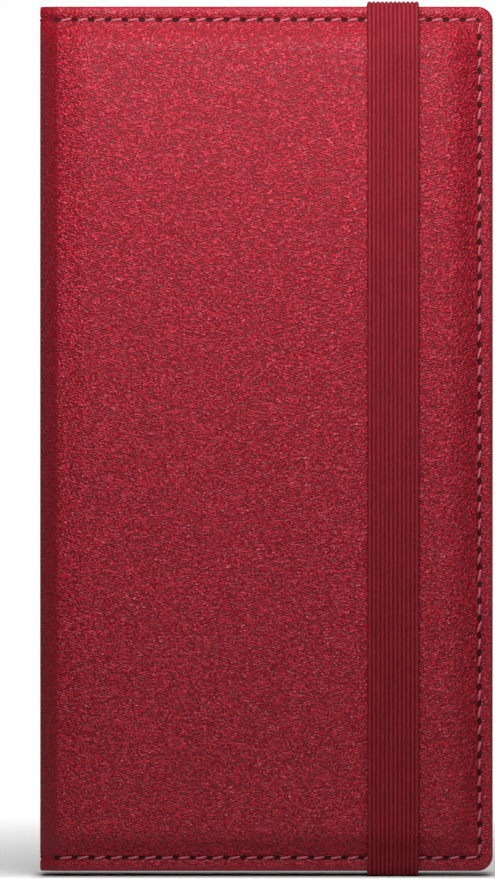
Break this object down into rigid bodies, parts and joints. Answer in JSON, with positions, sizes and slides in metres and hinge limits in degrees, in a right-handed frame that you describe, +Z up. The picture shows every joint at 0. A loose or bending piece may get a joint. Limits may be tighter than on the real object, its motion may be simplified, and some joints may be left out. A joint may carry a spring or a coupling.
{
  "type": "pocket notebook",
  "caption": "Slim pocket notebook with padded grained covers, stitched edges, a soft folded spine, a sewn page block and an elastic strap that holds it shut.",
  "frame": {"origin": "middle of the bounding box in X and Y, on the floor under the strap", "axes": "+Z up along the spine, -Y the front cover's outward side, -X the spine side, +X the fore-edge"},
  "size_m": [0.088, 0.019, 0.17],
  "materials": {
    "skin": "satin",
    "foam": "matte",
    "board": "matte",
    "lining": "matte",
    "thread": "satin",
    "elastic": "matte",
    "page": "matte",
    "flyleaf": "matte",
    "binding_cloth": "matte",
    "kraft_paper": "matte",
    "sewing_thread": "matte"
  },
  "bodies": {
    "back_cover": {"back_cover_skin": "skin", "back_cover_foam": "foam", "back_cover_board": "board", "back_cover_lining": "lining", "back_cover_stitching": "thread", "back_flyleaf": "flyleaf", "signature_5": "page", "signature_6": "page", "signature_7": "page", "signature_8": "page", "sewing_thread": "sewing_thread", "spine_mull": "binding_cloth", "spine_kraft": "kraft_paper", "strap_leg_bottom": "elastic", "strap_leg_top": "elastic", "strap_tail_bottom": "elastic", "strap_tail_top": "elastic"},
    "spine": {"spine_skin": "skin", "spine_stiffener": "board", "spine_lining": "lining", "spine_stitching": "thread", "front_fold_skin": "skin", "back_fold_skin": "skin"},
    "front_cover": {"front_cover_skin": "skin", "front_cover_foam": "foam", "front_cover_board": "board", "front_cover_lining": "lining", "front_cover_stitching": "thread"},
    "front_pages": {"front_flyleaf": "flyleaf", "signature_1": "page", "signature_2": "page", "signature_3": "page", "signature_4": "page"},
    "leaf_a": {"leaf_1": "page"},
    "leaf_b": {"leaf_2": "page"},
    "leaf_c": {"leaf_3": "page"},
    "strap": {"strap_run": "elastic"}
  },
  "joints": [
    {"name": "spine_fold", "type": "hinge", "parent": "back_cover", "child": "spine", "pos_m": [-0.04323, 0.0087, 0.085], "axis": [0, 0, -1], "range_deg": [0, 90], "deforming": ["back_fold_skin"]},
    {"name": "cover_fold", "type": "hinge", "parent": "spine", "child": "front_cover", "pos_m": [-0.04323, -0.00765, 0.085], "axis": [0, 0, -1], "range_deg": [0, 90], "deforming": ["front_fold_skin"]},
    {"name": "pages_turn", "type": "hinge", "parent": "back_cover", "child": "front_pages", "pos_m": [-0.0414, 0.00052, 0.085], "axis": [0, 0, -1], "range_deg": [0, 180], "deforming": ["sewing_thread", "spine_mull", "spine_kraft"]},
    {"name": "leaf_1_turn", "type": "hinge", "parent": "back_cover", "child": "leaf_a", "pos_m": [-0.0414, 0.00052, 0.085], "axis": [0, 0, -1], "range_deg": [0, 150]},
    {"name": "leaf_2_turn", "type": "hinge", "parent": "back_cover", "child": "leaf_b", "pos_m": [-0.0414, 0.00052, 0.085], "axis": [0, 0, -1], "range_deg": [0, 102]},
    {"name": "leaf_3_turn", "type": "hinge", "parent": "back_cover", "child": "leaf_c", "pos_m": [-0.0414, 0.00052, 0.085], "axis": [0, 0, -1], "range_deg": [0, 42]},
    {"name": "strap_swing", "type": "hinge", "parent": "back_cover", "child": "strap", "pos_m": [0.0246, 0.00052, 0.085], "axis": [0, 0, -1], "range_deg": [0, 180], "deforming": ["strap_run", "strap_leg_top", "strap_leg_bottom"]}
  ],
  "couplings": [
    {"joint": "cover_fold", "follows": "spine_fold", "ratio": 1},
    {"joint": "pages_turn", "follows": "spine_fold", "ratio": 2},
    {"joint": "leaf_1_turn", "follows": "spine_fold", "ratio": 1.6667},
    {"joint": "leaf_2_turn", "follows": "spine_fold", "ratio": 1.1333},
    {"joint": "leaf_3_turn", "follows": "spine_fold", "ratio": 0.46667}
  ]
}
